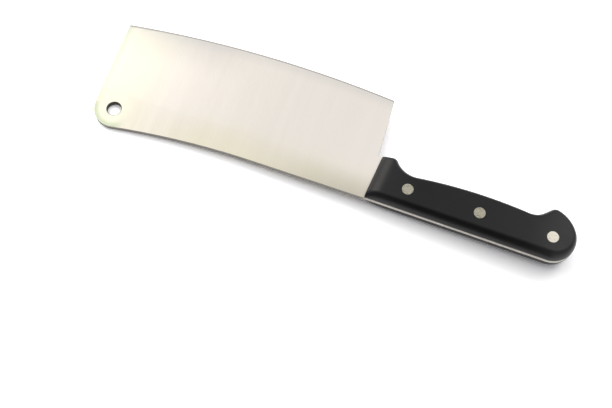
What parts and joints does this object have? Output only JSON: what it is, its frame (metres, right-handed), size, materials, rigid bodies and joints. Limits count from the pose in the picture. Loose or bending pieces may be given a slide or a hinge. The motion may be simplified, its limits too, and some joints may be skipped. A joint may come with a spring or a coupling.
{
  "type": "chopping knife",
  "caption": "Full-tang steel chopping knife with a deep curved blade, a hanging hole at the tip and a black handle with a finger guard, butt horn and flush rivets.",
  "frame": {"origin": "middle of the knife's length and height, on the plane that the lower handle scale lies on", "axes": "+X from the blade tip to the handle butt, +Y from the spine to the cutting edge, +Z out of the upper face of the blade"},
  "size_m": [0.2778, 0.0729, 0.019],
  "materials": {
    "blade_steel": "fine ground satin",
    "scale_plastic": "smooth moulded, slightly satin",
    "rivet_steel": "ground flush with the scales"
  },
  "bodies": {
    "root": {"blade": "blade_steel", "scale_upper": "scale_plastic", "scale_lower": "scale_plastic", "rivet_front_male": "rivet_steel", "rivet_front_female": "rivet_steel", "rivet_middle_male": "rivet_steel", "rivet_middle_female": "rivet_steel", "rivet_rear_male": "rivet_steel", "rivet_rear_female": "rivet_steel"}
  },
  "joints": []
}
